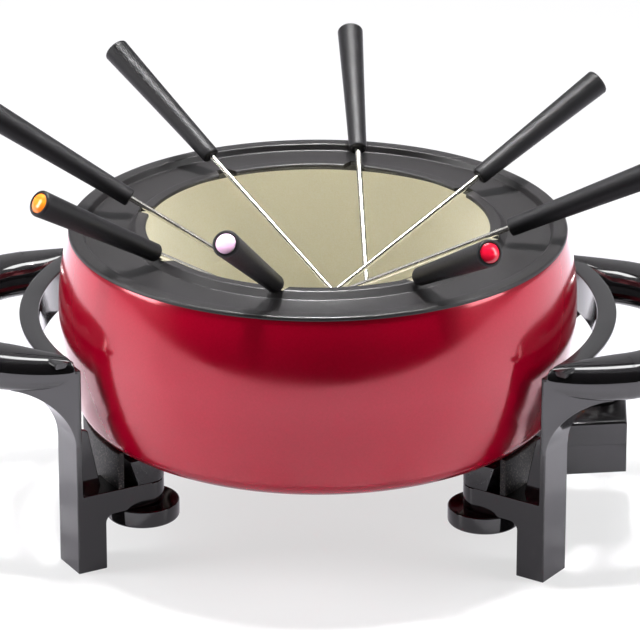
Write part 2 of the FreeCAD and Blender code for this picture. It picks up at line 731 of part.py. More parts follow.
bottom_hollow = wedge("case_bottom_hollow", case_low + case_skin, case_split + 1, case_skin)
bottom_shell = cut("case_bottom_shell",
                   wedge("case_bottom_outside", case_low, case_split, no_gap), bottom_hollow)
bottom_posts = []
bottom_tools = plug_holes("case_bottom") + [inlet_room("case_bottom_inlet_room")]
top_hollow = wedge("case_top_hollow", case_split - 1, case_high - case_skin, case_skin)
top_outside = wedge("case_top_outside", case_split, case_high, no_gap)
top_edge = doc.addObject("Part::Fillet", "case_top_rounded")
top_edge.Base = top_outside
doc.recompute()
top_edge.Edges = [(number + 1, 1.6, 1.6) for number, edge in enumerate(top_outside.Shape.Edges)
                  if edge.BoundBox.ZMin > float(case_high) - 0.1]
top_shell = cut("case_top_shell", top_edge, top_hollow)
top_posts = []
lens_place = (case_inner + 8, -18)
top_tools = plug_holes("case_top") + [
    inlet_room("case_top_inlet_room"),
    cylinder("dial_shaft_hole", dial_shaft_radius + 0.06, 8, (dial_x, 0, case_high - 5)),
    cylinder("lens_hole", 2.5, 8, (lens_place[0], lens_place[1], case_high - 5)),
]
case_screws = []
for across, along in case_screw_places:
    bottom_posts.append(cylinder("case_bottom_post", post_radius, case_split - case_low - 1,
                                 (across, along, case_low + 1)))
    bottom_tools.append(cylinder("case_screw_way", thread_radius + 0.3, 20,
                                 (across, along, case_low - 1)))
    bottom_tools.append(cylinder("case_screw_recess", 2.9, 3, (across, along, case_low - 1)))
    top_posts.append(cylinder("case_top_post", post_radius, case_high - case_split - 1,
                              (across, along, case_split)))
    top_tools.append(cylinder("case_screw_thread", thread_radius, 8, (across, along, case_split)))
    case_screws.append(cylinder("case_screw_shank", thread_radius, 18.5,
                                (across, along, case_low + 2)))
    case_screws.append(cylinder("case_screw_head", 2.7, 1.8, (across, along, case_low + 0.2)))
keep(cut("probe_case_bottom", fused("case_bottom_solid", [bottom_shell] + bottom_posts),
         fused("case_bottom_openings", bottom_tools)), "probe_case_bottom")
keep(cut("probe_case_top", fused("case_top_solid", [top_shell] + top_posts),
         fused("case_top_openings", top_tools)), "probe_case_top")
keep(fused("probe_screws", case_screws), "probe_screws")

stem_start = as_size(80.6)
stem_end = as_size(120)
keep(cylinder("sensor_stem", stem_radius, stem_end - stem_start,
              (stem_start, 0, element_height), ALONG_X), "sensor_stem")
sleeve_start = case_inner + case_skin + 0.3
sleeve_radius = pin_radius + 1.1
sleeves = []
sleeve_seats = []
for hand in (1, -1):
    place = (sleeve_start, tail_y * hand, element_height)
    sleeve = cylinder("sleeve_outside", sleeve_radius, 12, place, ALONG_X)
    sleeves.append(cut("sleeve", sleeve, cylinder("sleeve_bore", pin_radius + 0.05, 12,
                                                  place, ALONG_X)))
    sleeve_seats.append(cylinder("sleeve_seat", sleeve_radius, 14,
                                 (sleeve_start - 1, tail_y * hand, element_height), ALONG_X))
keep(fused("contact_sleeves", sleeves), "contact_sleeves")
carrier_low = case_low + case_skin
carrier = fused("thermostat_solid", [
    block("sleeve_carrier", (sleeve_start, -20.2, carrier_low), (11, 40.4, 10)),
    block("thermostat_body", (stem_end, -9, carrier_low), (16, 18, case_split - carrier_low)),
])
stem_seat = cylinder("stem_seat", stem_radius, 20, (stem_end - 20, 0, element_height), ALONG_X)
keep(cut("thermostat_block", carrier, fused("thermostat_seats", sleeve_seats + [stem_seat])),
     "thermostat_block")

dial_low = case_high + 0.4
dial_high = dial_low + 5.6
keep(cylinder("dial_shaft", dial_shaft_radius, dial_high - case_split - 2,
              (dial_x, 0, case_split + 0.5)), "dial_shaft")
dial_body = new_body("dial_disc")
dial_section = outline(dial_body, "dial_section", "XZ_Plane", [
    (0, dial_low), (dial_radius, dial_low), (dial_radius, dial_high - 1.5),
    (dial_radius - 1.5, dial_high), (0, dial_high),
])
turned(dial_body, "dial_turned", dial_section)
dial_body.setExpression("Placement.Base.x", dial_x.formula)
grip = block("dial_grip", (dial_x - 2, -9, dial_high - 1), (4, 18, 5))
shaft_room = cylinder("dial_shaft_room", dial_shaft_radius, 9, (dial_x, 0, case_split + 7))
shaft_room.setExpression("Height", (dial_high - case_split - 8.5).formula)
keep(cut("temperature_dial", fused("dial_solid", [dial_body, grip]), shaft_room),
     "temperature_dial")

lens_body = new_body("lens_dome")
lens_section = outline(lens_body, "lens_section", "XZ_Plane", [
    (0, case_high - 4), (as_size(2.45), case_high - 4), (as_size(2.45), case_high + 0.2),
    (as_size(1.4), case_high + 0.9), (0, case_high + 0.9),
])
turned(lens_body, "lens_turned", lens_section)
bind(lens_body, Base_x=lens_place[0], Base_y=lens_place[1])
keep(lens_body, "lamp_lens")
keep(cylinder("indicator_lamp", 2, 3.7, (lens_place[0], lens_place[1], case_high - 7.8)),
     "indicator_lamp")

inlet_solid = doc.addObject("Part::MultiCommon", "inlet_solid")
inlet_solid.Shapes = [inlet_room("inlet_outside"),
                      wedge("inlet_bound", case_low, case_high, no_gap)]
inlet_recess = block("inlet_recess", (dial_x - 4.6, 22.5, 44), (9.2, 20, 9))
keep(cut("power_inlet", inlet_solid, inlet_recess), "power_inlet")
inlet_pins = [cylinder("inlet_pin", 1, 5.3, (dial_x + 2.3 * side, 22.5, 48.5), ALONG_Y)
              for side in (1, -1)]
keep(fused("inlet_pins", inlet_pins), "inlet_pins")


# Write out: every object is checked, then each piece goes to its own file

doc.recompute()
for thing in doc.Objects:
    if "Invalid" in thing.State or "Error" in thing.State:
        raise RuntimeError("%s failed: %s" % (thing.Name, thing.State))
os.makedirs("parts", exist_ok=True)
for piece in pieces:
    if piece.Shape.isNull() or not piece.Shape.isValid():
        raise RuntimeError("%s has no sound shape" % piece.Label)
    piece.Shape.exportStep("parts/%s.step" % piece.Label)
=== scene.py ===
import json
import math

import bmesh
import bpy
import numpy as np
from mathutils import Matrix, Vector


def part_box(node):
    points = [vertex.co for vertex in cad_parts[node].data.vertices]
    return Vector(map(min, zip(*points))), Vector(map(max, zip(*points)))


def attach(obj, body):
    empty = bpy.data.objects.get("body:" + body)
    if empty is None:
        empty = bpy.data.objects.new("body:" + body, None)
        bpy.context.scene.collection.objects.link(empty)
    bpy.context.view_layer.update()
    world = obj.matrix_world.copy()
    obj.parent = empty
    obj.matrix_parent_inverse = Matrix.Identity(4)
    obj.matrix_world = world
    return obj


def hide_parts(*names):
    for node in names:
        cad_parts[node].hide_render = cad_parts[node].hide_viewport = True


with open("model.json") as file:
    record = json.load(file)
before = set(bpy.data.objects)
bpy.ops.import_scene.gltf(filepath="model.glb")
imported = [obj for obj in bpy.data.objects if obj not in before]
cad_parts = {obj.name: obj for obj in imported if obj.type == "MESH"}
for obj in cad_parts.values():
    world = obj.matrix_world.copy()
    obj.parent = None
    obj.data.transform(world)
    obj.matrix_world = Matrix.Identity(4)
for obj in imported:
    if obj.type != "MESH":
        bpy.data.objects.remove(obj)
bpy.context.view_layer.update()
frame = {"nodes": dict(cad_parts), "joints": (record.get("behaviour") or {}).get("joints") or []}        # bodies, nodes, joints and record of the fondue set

MM = 0.001


# ---- Bowl ----------------------------------------------------------------------------------------
# Die-cast aluminium bowl. The outside is sprayed with red enamel and baked, the inside has a cream
# ceramic coating, and the bosses for the heating ring and the stands are cast on underneath.

def linear(code):
    """sRGB hex colour as linear RGBA: the gamma curve undone channel by channel."""
    channels = [int(code[place:place + 2], 16) / 255 for place in (1, 3, 5)]
    opened = [c / 12.92 if c <= 0.04045 else ((c + 0.055) / 1.055) ** 2.4 for c in channels]
    return (*opened, 1.0)


def add_node(tree, kind, inputs, **settings):
    """One shader node: settings are its properties, inputs its sockets' values or links."""
    made = tree.nodes.new(kind)
    for name, value in settings.items():
        setattr(made, name, value)
    for socket, value in inputs.items():
        if isinstance(value, bpy.types.NodeSocket):
            tree.links.new(value, made.inputs[socket])
        else:
            made.inputs[socket].default_value = value
    return made


def new_finish(name, colour, **sockets):
    """A Principled material, its node tree, its shader and the object's own coordinates."""
    made = bpy.data.materials.new(name)
    made.use_nodes = True
    tree = made.node_tree
    shader = tree.nodes["Principled BSDF"]
    shader.inputs["Base Color"].default_value = linear(colour)
    for socket, value in sockets.items():
        shader.inputs[socket.replace("_", " ")].default_value = value
    place = tree.nodes.new("ShaderNodeTexCoord").outputs["Object"]
    return made, tree, shader, place


def grain(tree, place, size_mm, detail=2.0):
    """Noise whose lumps are about size_mm across, from 0 to 1."""
    settings = {"Vector": place, "Scale": 1 / (size_mm * MM), "Detail": detail}
    return add_node(tree, "ShaderNodeTexNoise", settings).outputs["Fac"]


def spread(tree, value, low, high):
    """Noise stretched from its usual 0.3 to 0.7 onto low to high."""
    settings = {"Value": value, "From Min": 0.3, "From Max": 0.7, "To Min": low, "To Max": high}
    return add_node(tree, "ShaderNodeMapRange", settings).outputs["Result"]


def roughen(tree, shader, height, depth_mm, strength=1.0):
    """Bump of this depth on the whole surface."""
    bump = add_node(tree, "ShaderNodeBump",
                    {"Height": height, "Distance": depth_mm * MM, "Strength": strength})
    tree.links.new(bump.outputs["Normal"], shader.inputs["Normal"])


def tint(tree, shader, amount, first, second):
    """Colour between two hex values, by amount."""
    mix = add_node(tree, "ShaderNodeMix",
                   {"Factor": amount, "A": linear(first), "B": linear(second)}, data_type="RGBA")
    tree.links.new(mix.outputs["Result"], shader.inputs["Base Color"])


def arc(start, end, radius, steps):
    """Points after start, up to end, on a circle that bulges to the right of the way there, or to
    the left for a negative radius: both ends' spokes from the centre are blended by angle."""
    start, end = np.array(start, float), np.array(end, float)
    chord = end - start
    length = np.hypot(*chord)
    right = np.array([chord[1], -chord[0]]) / length
    rise = math.sqrt(radius * radius - length * length / 4) * math.copysign(1, radius)
    centre = (start + end) / 2 - right * rise
    span = 2 * math.asin(length / 2 / abs(radius))
    share = np.linspace(0, 1, steps + 1)[1:, None]
    spokes = (np.sin((1 - share) * span) * (start - centre)
              + np.sin(share * span) * (end - centre)) / math.sin(span)
    return list(map(tuple, centre + spokes))


def rounded(corners, steps=5):
    """Closed outline with each corner (x, y, radius) turned into an arc tangent to both sides."""
    points = []
    for place, (x, y, radius) in enumerate(corners):
        corner = np.array([x, y], float)
        before = np.array(corners[place - 1][:2], float) - corner
        after = np.array(corners[(place + 1) % len(corners)][:2], float) - corner
        if radius == 0:
            points.append(corner)
            continue
        before /= np.hypot(*before)
        after /= np.hypot(*after)
        half = math.acos(np.clip(before @ after, -1, 1)) / 2
        middle = (before + after) / np.hypot(*(before + after))
        centre = corner + middle * radius / math.sin(half)
        first = corner + before * radius / math.tan(half) - centre
        last = corner + after * radius / math.tan(half) - centre
        span = math.pi - 2 * half
        share = np.linspace(0, 1, steps + 1)[:, None]
        points.extend(centre + (np.sin((1 - share) * span) * first
                                + np.sin(share * span) * last) / math.sin(span))
    return np.array(points)


def grid_faces(rows, columns, wrap_rows, wrap_columns):
    """Quads of a grid of rows by columns, joined back to its start where it wraps."""
    row, column = np.meshgrid(np.arange(rows - (not wrap_rows)),
                              np.arange(columns - (not wrap_columns)), indexing="ij")
    next_row, next_column = (row + 1) % rows, (column + 1) % columns
    quads = np.stack([row * columns + column, row * columns + next_column,
                      next_row * columns + next_column, next_row * columns + column], -1)
    return quads.reshape(-1, 4).tolist()


def turned(profile, steps=240, start=0.0, end=360.0, loop=True):
    """Surface of revolution: the point (radius, height) at angle a lies at (radius cos a,
    radius sin a, height). A part turn gets flat ends."""
    profile = np.array(profile, float)
    whole = end - start >= 360
    angles = np.radians(np.linspace(start, end, steps, endpoint=not whole))[:, None]
    places = np.stack([profile[:, 0] * np.cos(angles), profile[:, 0] * np.sin(angles),
                       profile[:, 1] + 0 * angles], -1)
    count = len(profile)
    faces = grid_faces(steps, count, whole, loop)
    if not whole:
        faces += [list(range(count)), list(range((steps - 1) * count, steps * count))]
    return places.reshape(-1, 3), faces


def put(name, body, finish, shells, bevel=0.0, turn=0.0, replaces=()):
    """Makes one piece of closed shells given in millimetres: doubles are merged and normals turned
    outwards shell by shell, and sharp edges get a small radius where bevel says so."""
    whole = bmesh.new()
    for places, faces in shells:
        shell = bpy.data.meshes.new("shell")
        shell.from_pydata((np.asarray(places) * MM).tolist(), [], faces)
        part = bmesh.new()
        part.from_mesh(shell)
        bmesh.ops.remove_doubles(part, verts=part.verts, dist=0.002 * MM)
        bmesh.ops.dissolve_degenerate(part, edges=part.edges, dist=0.002 * MM)
        bmesh.ops.recalc_face_normals(part, faces=part.faces)
        part.to_mesh(shell)
        part.free()
        whole.from_mesh(shell)
        bpy.data.meshes.remove(shell)
    mesh = bpy.data.meshes.new(name)
    whole.to_mesh(mesh)
    whole.free()
    mesh.transform(Matrix.Rotation(math.radians(turn), 4, "Z"))
    mesh.materials.append(finish)
    return dress(bpy.data.objects.new(name, mesh), body, bevel, replaces)


def dress(piece, body, bevel, replaces=()):
    """Smooth shading, an edge radius and the piece's place in the frame."""
    bpy.context.scene.collection.objects.link(piece)
    piece.data.shade_smooth()
    if bevel:
        edge = piece.modifiers.new("edge radius", "BEVEL")
        edge.limit_method = "ANGLE"
        edge.angle_limit = math.radians(38)
        edge.width = bevel * MM
        edge.segments = 3
        edge.harden_normals = True
    else:
        piece.data.set_sharp_from_angle(angle=math.radians(38))
    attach(piece, body)
    if replaces:
        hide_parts(*replaces)
    return piece


red_enamel, tree, shader, place = new_finish("baked red enamel", "#97001F", Roughness=0.12, IOR=1.5,
                                             Metallic=0.25)
tint(tree, shader, spread(tree, grain(tree, place, 0.9, 3), 0, 1), "#93001D", "#9B0022")
tree.links.new(spread(tree, grain(tree, place, 30), 0.11, 0.17), shader.inputs["Roughness"])
roughen(tree, shader, grain(tree, place, 2.2, 1), 0.01, 0.6)

cream_ceramic, tree, shader, place = new_finish("sprayed cream ceramic coating", "#FCF9E8",
                                                Roughness=0.38, IOR=1.5)
tint(tree, shader, spread(tree, grain(tree, place, 0.7, 4), 0, 1), "#F7F2DC", "#FDFAEC")
roughen(tree, shader, grain(tree, place, 0.8, 3), 0.015, 0.7)

wall, coat = 3.5, 0.35
base_height = 54.0
rim_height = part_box("pot")[1].z / MM
rim_bore, rim_side = 111.2, 114.3


def bowl_side(inset):
    """Bowl's profile from the middle of the floor to the rim, drawn in by inset from the outside:
    a flat floor, a knee, a long side and a shoulder, each an arc tangent to the next."""
    knee = (112.5 - inset, 63.1 + inset * 0.6)
    belly = (119.8 - inset, 104)
    flat = (100 - inset * 0.6, base_height + inset)
    return ([(0, base_height + inset), (50, base_height + inset), flat]
            + arc(flat, knee, 13, 14) + arc(knee, belly, 170 - inset, 24)
            + arc(belly, (114.6 - inset, rim_height - 0.6), 125 - inset, 22))


outside = bowl_side(0) + [(rim_side, rim_height), (rim_bore + coat, rim_height)]
put("bowl_shell", "base", red_enamel,
    [turned(outside + bowl_side(wall - coat)[::-1], loop=False)], replaces=["pot"])
lining = bowl_side(wall)[:-1] + [(rim_bore, rim_height - 0.5)] + bowl_side(wall - coat + 0.02)[::-1]
put("bowl_lining", "base", cream_ceramic, [turned(lining, loop=False)])

element_circle, groove, groove_top = 71, 3.4, 52.4
boss_in, boss_out, boss_low, boss_top = 62, 80, 45, 54.4
boss_section = rounded([(boss_in, boss_low, 0.6), (element_circle - groove, boss_low, 0.4),
                        (element_circle - groove, groove_top, 1.5),
                        (element_circle + groove, groove_top, 1.5),
                        (element_circle + groove, boss_low, 0.4), (boss_out, boss_low, 0.6),
                        (boss_out, boss_top, 0), (boss_in, boss_top, 0)])
leg_angle, screw_circle = 31.5, 92.0
bosses = [turned(boss_section, 180, 19, 341)]
for angle in (-leg_angle, leg_angle, 180 - leg_angle, 180 + leg_angle):
    middle = screw_circle * np.array([math.cos(math.radians(angle)), math.sin(math.radians(angle)), 0])
    places, faces = turned([(0, 50), (6.9, 50), (7.5, 50.6), (7.5, 54.5), (0, 54.5)], 40, loop=False)
    bosses.append((places + middle, faces))
put("bowl_bosses", "base", red_enamel, bosses)


# ---- Fork ring -----------------------------------------------------------------------------------
# Cast aluminium disc with a satin black non-stick coating. It lies loose on the bowl's rim, and the
# eight notches in its inner lip each take a fork.

ring_coating, tree, shader, place = new_finish("satin black non-stick coating", "#0F0D0E",
                                               Roughness=0.4, IOR=1.38)
tree.links.new(spread(tree, grain(tree, place, 0.5, 3), 0.38, 0.48), shader.inputs["Roughness"])
roughen(tree, shader, grain(tree, place, 0.45, 3), 0.012, 0.6)

ring_outer, ring_high, plate, lip_high, opening = 115.0, 144.1, 141.0, 144.4, 79.1
skirt_in, skirt_out, skirt_low, seat = 107.2, 109.7, 133.0, 142.3
lip_under, plate_under = lip_high - 2, plate - 2.6
notch_first, notch_mouth, notch_floor, notch_depth = 35.1, 4.8, 2.6, 5.5
ring_corners = [(ring_outer - 0.3, seat, 0), (ring_outer, ring_high, 1.2),
                (ring_outer - 7, ring_high, 0.9), (ring_outer - 7.9, plate, 0.7), (86.9, plate, 0.9),
                (84, lip_high, 1.1), (opening, lip_high, 0.8), (opening, lip_under, 0.6),
                (84.8, lip_under, 1.1), (87.6, plate_under, 1), (skirt_in, plate_under, 0.8),
                (skirt_in, skirt_low, 0.5), (skirt_out, skirt_low, 0.5), (skirt_out, seat, 0)]
ring_loop = rounded(ring_corners, 6)
fine = np.concatenate([np.linspace(-5, 5, 61), np.linspace(6, 39, 34)])
turns = np.radians((notch_first + 45 * np.arange(8)[:, None] + fine).ravel())
# Each bite narrows from its mouth at the opening to its floor, so at any angle from its middle the
# lip starts at the radius where the bite is that wide.
from_notch = np.tile(np.radians(np.abs(fine)), 8)[:, None]
bite_radius = np.linspace(opening, opening + notch_depth, 9)
half_angle = np.linspace(notch_mouth, notch_floor, 9) / bite_radius
bite = np.interp(-from_notch, -half_angle, bite_radius)
bite = np.where(from_notch > half_angle[0], opening, bite)
radius, height = np.maximum(ring_loop[:, 0], bite), ring_loop[:, 1]
ring_places = np.stack([radius * np.cos(turns[:, None]), radius * np.sin(turns[:, None]),
                        height + 0 * radius], -1).reshape(-1, 3)
ring_shell = (ring_places, grid_faces(len(turns), len(ring_loop), True, True))
put("ring_disc", "ring", ring_coating, [ring_shell], replaces=["fork_ring"])


# ---- Stands --------------------------------------------------------------------------------------
# Two moulded phenolic stands with a glossy black skin. Each is one moulding in the real thing: a
# curved ledge, two legs with arms and ribs, a low wall, and a D-shaped handle from leg to leg.

gloss_phenolic, tree, shader, place = new_finish("glossy black phenolic", "#0C0B0C", Roughness=0.09,
                                                 IOR=1.6)
tree.links.new(spread(tree, grain(tree, place, 18, 3), 0.06, 0.13), shader.inputs["Roughness"])
roughen(tree, shader, grain(tree, place, 16, 2), 0.12, 0.5)

leg_outer, leg_skin, foot_depth, leg_width = 130.1, 3.0, 14.5, 19.5
arm_low, arm_high = 26.5, 38.0
loop_height, loop_wide, loop_deep, loop_reach, loop_bend = 94.9, 12.0, 9.6, 171.0, 44.0
loop_top = loop_height + loop_deep
root = np.array([108.5, -67.5])
root_depth, root_swell, root_rows = 5.0, 34.0, 44
splay = 16.8


def slab(outline, width, turn):
    """Upright plate: the outline lies in the plane of radius and height, and is given a width
    across it, then turned about the bowl's axis."""
    outline = np.array(outline, float)
    count = len(outline)
    places = np.vstack([np.stack([outline[:, 0], outline[:, 0] * 0 + side * width / 2, outline[:, 1]], 1)
                        for side in (-1, 1)])
    faces = [list(range(count)), list(range(count, 2 * count))]
    faces += [[i, (i + 1) % count, count + (i + 1) % count, count + i] for i in range(count)]
    return turned_by(places, turn), faces


def turned_by(places, angle):
    """Points turned about the upright axis."""
    c, s = math.cos(math.radians(angle)), math.sin(math.radians(angle))
    return np.asarray(places) @ np.array([[c, s, 0], [-s, c, 0], [0, 0, 1]])


def disc(radius, low, high, middle, edge=0.6, steps=64):
    """Round block with softened edges."""
    places, faces = turned([(0, low), (radius - edge, low), (radius, low + edge),
                            (radius, high - edge), (radius - edge, high), (0, high)], steps, loop=False)
    return places + np.array([middle[0], middle[1], 0]), faces


def loft(rows):
    """Closed skin over sections of equal length, flat at both ends."""
    rows = np.array(rows, float)
    sections, count = rows.shape[:2]
    faces = grid_faces(sections, count, False, True)
    faces += [list(range(count)), list(range((sections - 1) * count, sections * count))]
    return rows.reshape(-1, 3), faces


def swelling(reach):
    """Share of the handle's full depth at this way out from the leg: a quarter of a circle."""
    return np.sqrt(1 - (1 - np.clip(reach / root_swell, 0, 1)) ** 2)


def bracket(hand):
    """Web from the leg to the handle: the leg's outer face carried along the handle's direction.
    Its lower edge is a quarter of an ellipse, upright at the leg and level under the handle."""
    phases = np.linspace(0, math.pi / 2, 30)
    out = np.concatenate([[-1.5], 31 * (1 - np.cos(phases))])
    low = np.concatenate([[63], 63 + 23.5 * np.sin(phases)])
    high = loop_top - root_depth - (loop_deep - root_depth) * swelling(out)
    edge = turned_by([[leg_outer, -leg_width / 2, 0], [leg_outer, leg_width / 2, 0]], -leg_angle)[:, :2]
    width = np.hypot(*(edge[1] - edge[0]))
    heading = np.array([math.cos(math.radians(splay)), math.sin(math.radians(splay))])
    rows = []
    for reach, floor, top in zip(out, low, high):
        loop = rounded([(0, floor, 0.9), (width, floor, 0.9), (width, top, 0), (0, top, 0)], 4)
        spots = edge[0] + (edge[1] - edge[0]) * loop[:, :1] / width + heading * reach
        rows.append(np.column_stack([spots, loop[:, 1]]))
    rows = np.array(rows)
    rows[:, :, 1] *= hand
    return loft(rows)


def handle_tube():
    """Rounded oval section carried along the handle's line: straight from one leg, round a bend,
    across the end and back. Each root starts as a shallow section in the plane of the leg's outer
    face, turns square to the handle and swells downwards under a level top."""
    angle = math.radians(splay)
    heading = np.array([math.cos(angle), math.sin(angle)])
    corner = root + heading * (loop_reach - root[0]) / heading[0]
    back = loop_bend * math.tan((math.pi / 2 - angle) / 2)
    bend_start = corner - heading * back
    face = turned_by([[leg_outer, 0, 0]], -leg_angle)[0, :2]
    phases = np.linspace(0, math.pi / 2, root_rows)
    reach = np.concatenate([[-2.0, -1.2, -0.5], root_swell * (1 - np.cos(phases))])
    grown = swelling(reach)[:, None]
    eased = np.clip(reach / root_swell, 0, 1)[:, None]
    eased = eased * eased * (3 - 2 * eased)
    line = face + (root + heading * ((face - root) @ heading) - face) * eased + heading * reach[:, None]
    end = np.array([0.55, 0.85, 0.96] + [1.0] * root_rows)[:, None]
    aim = math.radians(90 - leg_angle) + (angle + math.radians(leg_angle)) * eased
    across = np.hstack([np.cos(aim), np.sin(aim)])
    wide = (leg_width / 2 + (loop_wide - leg_width / 2) * eased) * end
    deep = (root_depth + (loop_deep - root_depth) * grown) * end
    high = loop_top - root_depth - (loop_deep - root_depth) * grown
    run = line[-1] + (bend_start - line[-1]) * np.linspace(0, 1, 8)[1:, None]
    turn = np.linspace(angle, math.pi / 2, 40)[1:, None]
    bend = np.array([loop_reach - loop_bend, corner[1] + back]) + loop_bend * np.hstack(
        [np.sin(turn), -np.cos(turn)])
    steady = np.ones((len(run) + len(bend), 1))
    line = np.vstack([line, run, bend])
    across = np.vstack([across, np.tile([-heading[1], heading[0]], (len(run), 1)),
                        np.hstack([-np.sin(turn), np.cos(turn)])])
    wide, deep = np.vstack([wide, steady * loop_wide]), np.vstack([deep, steady * loop_deep])
    high = np.vstack([high, steady * loop_height])
    line = np.vstack([line, (line * [1, -1])[::-1]])
    across = np.vstack([across, (across * [1, -1])[::-1]])
    wide, deep, high = [np.vstack([part, part[::-1]]) for part in (wide, deep, high)]
    step = np.linspace(0, 2 * math.pi, 56, endpoint=False)
    power = 2 / 2.5
    beside = np.sign(np.cos(step)) * np.abs(np.cos(step)) ** power
    above = np.sign(np.sin(step)) * np.abs(np.sin(step)) ** power
    plan = line[:, None, :] + across[:, None, :] * (wide * beside)[:, :, None]
    return loft(np.dstack([plan, high + deep * above]))


def leg_shells(angle):
    """Foot, leg, arm with its round end, and the thin rib in the corner between leg and arm."""
    inner = leg_outer - foot_depth
    outline = rounded([(leg_outer, 0, 0), (leg_outer, loop_top - 4, 0),
                       (leg_outer - leg_skin, loop_top - 4, 0), (leg_outer - leg_skin, arm_high, 0.6),
                       (screw_circle, arm_high, 0), (screw_circle, arm_low, 0), (inner, arm_low, 4),
                       (inner, 0, 0)], 6)
    rib = [(leg_outer - 1, arm_high - 1), (leg_outer - 1, 70), (120, 66), (114, arm_high - 1)]
    end = (screw_circle * math.cos(math.radians(angle)), screw_circle * math.sin(math.radians(angle)))
    return [slab(outline, leg_width, angle), slab(rib, 2.6, angle),
            disc(leg_width / 2, arm_low, arm_high, end, 0.7)]


ledge_section = rounded([(128.9, 84.3, 0.6), (131.2, 84.3, 0.6), (131.2, 101.5, 1.2), (138, 101.5, 0.7),
                         (138, 103.8, 0.9), (128.9, 103.8, 0.9)], 4)
ledge = turned(ledge_section, 140, -34, 34)
wall_in, wall_out, wall_high, sill = 106.5, 109.5, 55.5, 33.0
window_angle = math.degrees(math.asin(35.5 / 108))


def low_wall(start, end, top):
    """Stretch of the low wall under the bowl."""
    section = rounded([(wall_in, arm_low, 0.4), (wall_out, arm_low, 0.4), (wall_out, top, 0.7),
                       (wall_in, top, 0.7)], 3)
    return turned(section, 60, start, end)


wall_finish, tree, shader, place = new_finish("rough black phenolic", "#0C0B0A", Roughness=0.6, IOR=1.4)
specks = add_node(tree, "ShaderNodeMapRange", {"Value": grain(tree, place, 0.7, 4), "From Min": 0.55,
                                               "From Max": 0.72, "To Min": 0, "To Max": 1})
tint(tree, shader, specks.outputs["Result"], "#0A0908", "#6A645C")
roughen(tree, shader, grain(tree, place, 0.8, 4), 0.12, 0.9)
wall_end = leg_angle + math.degrees(math.asin((leg_width / 2 - 0.4) / 108))
for name, turn in (("right", 0), ("left", 180)):
    walls = [low_wall(-wall_end, wall_end, wall_high)]
    if name == "right":
        walls = [low_wall(-wall_end, -window_angle, wall_high), low_wall(window_angle, wall_end, wall_high),
                 low_wall(-window_angle - 1, window_angle + 1, sill)]
    put(name + "_handle_loop", "base", gloss_phenolic,
        [handle_tube()], turn=turn, replaces=[name + "_stand"])
    put(name + "_brackets", "base", gloss_phenolic,
        [bracket(1), bracket(-1)], turn=turn)
    put(name + "_legs", "base", gloss_phenolic,
        leg_shells(-leg_angle) + leg_shells(leg_angle), bevel=0.8, turn=turn)
    put(name + "_ledge", "base", gloss_phenolic, [ledge], turn=turn)
    put(name + "_low_wall", "base", wall_finish, walls, turn=turn)


# ---- Spacer blocks, retaining caps and screws ----------------------------------------------------
# Plain moulded blocks above each arm and a round cap below it, in the same black as the stands but
# with a duller skin, drawn together by a plated screw.

dull_phenolic, tree, shader, place = new_finish("dull black phenolic", "#131213", Roughness=0.3, IOR=1.55)
tree.links.new(spread(tree, grain(tree, place, 1.2, 4), 0.24, 0.42), shader.inputs["Roughness"])
roughen(tree, shader, grain(tree, place, 0.8, 4), 0.03, 0.7)

plated_steel, tree, shader, place = new_finish("zinc-plated steel", "#B4B3AF", Roughness=0.3, Metallic=1.0)
tree.links.new(spread(tree, grain(tree, place, 0.6, 3), 0.22, 0.4), shader.inputs["Roughness"])


def refinish(node, finish):
    """A CAD node that already has the right shape gets its own material."""
    mesh = frame["nodes"][node].data
    mesh.materials.clear()
    mesh.materials.append(finish)


def softened(node, body, finish, bevel):
    """A piece from a copy of the CAD node: triangles merged to flat faces, edges given a radius."""
    mesh = frame["nodes"][node].data.copy()
    mesh.name = node + "_soft"
    work = bmesh.new()
    work.from_mesh(mesh)
    bmesh.ops.remove_doubles(work, verts=work.verts, dist=0.002 * MM)
    bmesh.ops.dissolve_limit(work, angle_limit=math.radians(0.4), verts=work.verts, edges=work.edges)
    work.to_mesh(mesh)
    work.free()
    mesh.materials.clear()
    mesh.materials.append(finish)
    return dress(bpy.data.objects.new(node + "_soft", mesh), body, bevel, [node])


cap_radius, cap_low = 16.8, 18.0
for corner in ("right_front", "right_rear", "left_rear", "left_front"):
    softened("spacer_" + corner, "base", dull_phenolic, 0.6)
    low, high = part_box("retaining_cap_" + corner)
    middle = ((low + high) / 2 / MM)[:2]
    cap_profile = rounded([(2.3, cap_low + 4, 0), (5.5, cap_low + 4, 0.4), (5.5, cap_low, 0.6),
                           (cap_radius, cap_low, 1.6), (cap_radius, arm_low, 0.8), (2.3, arm_low, 0)], 6)
    places, faces = turned(cap_profile, 96)
    put("cap_" + corner, "base", gloss_phenolic,
        [(places + np.array([*middle, 0]), faces)], replaces=["retaining_cap_" + corner])
refinish("stand_screws", plated_steel)


# ---- Forks ---------------------------------------------------------------------------------------
# Each fork is a stainless rod with two tines, a tapered handle of matt black plastic moulded on it,
# and a glossy colour button pressed into the butt, so that guests can tell the forks apart.

stainless, tree, shader, place = new_finish("drawn stainless wire", "#D2CFC8", Roughness=0.2, Metallic=1.0)
tree.links.new(spread(tree, grain(tree, place, 0.8, 3), 0.14, 0.28), shader.inputs["Roughness"])

matt_grip, tree, shader, place = new_finish("fine matt black plastic", "#0B0A0C", Roughness=0.5, IOR=1.3)
tree.links.new(spread(tree, grain(tree, place, 0.6, 3), 0.46, 0.56), shader.inputs["Roughness"])
roughen(tree, shader, grain(tree, place, 0.35, 3), 0.02, 0.6)


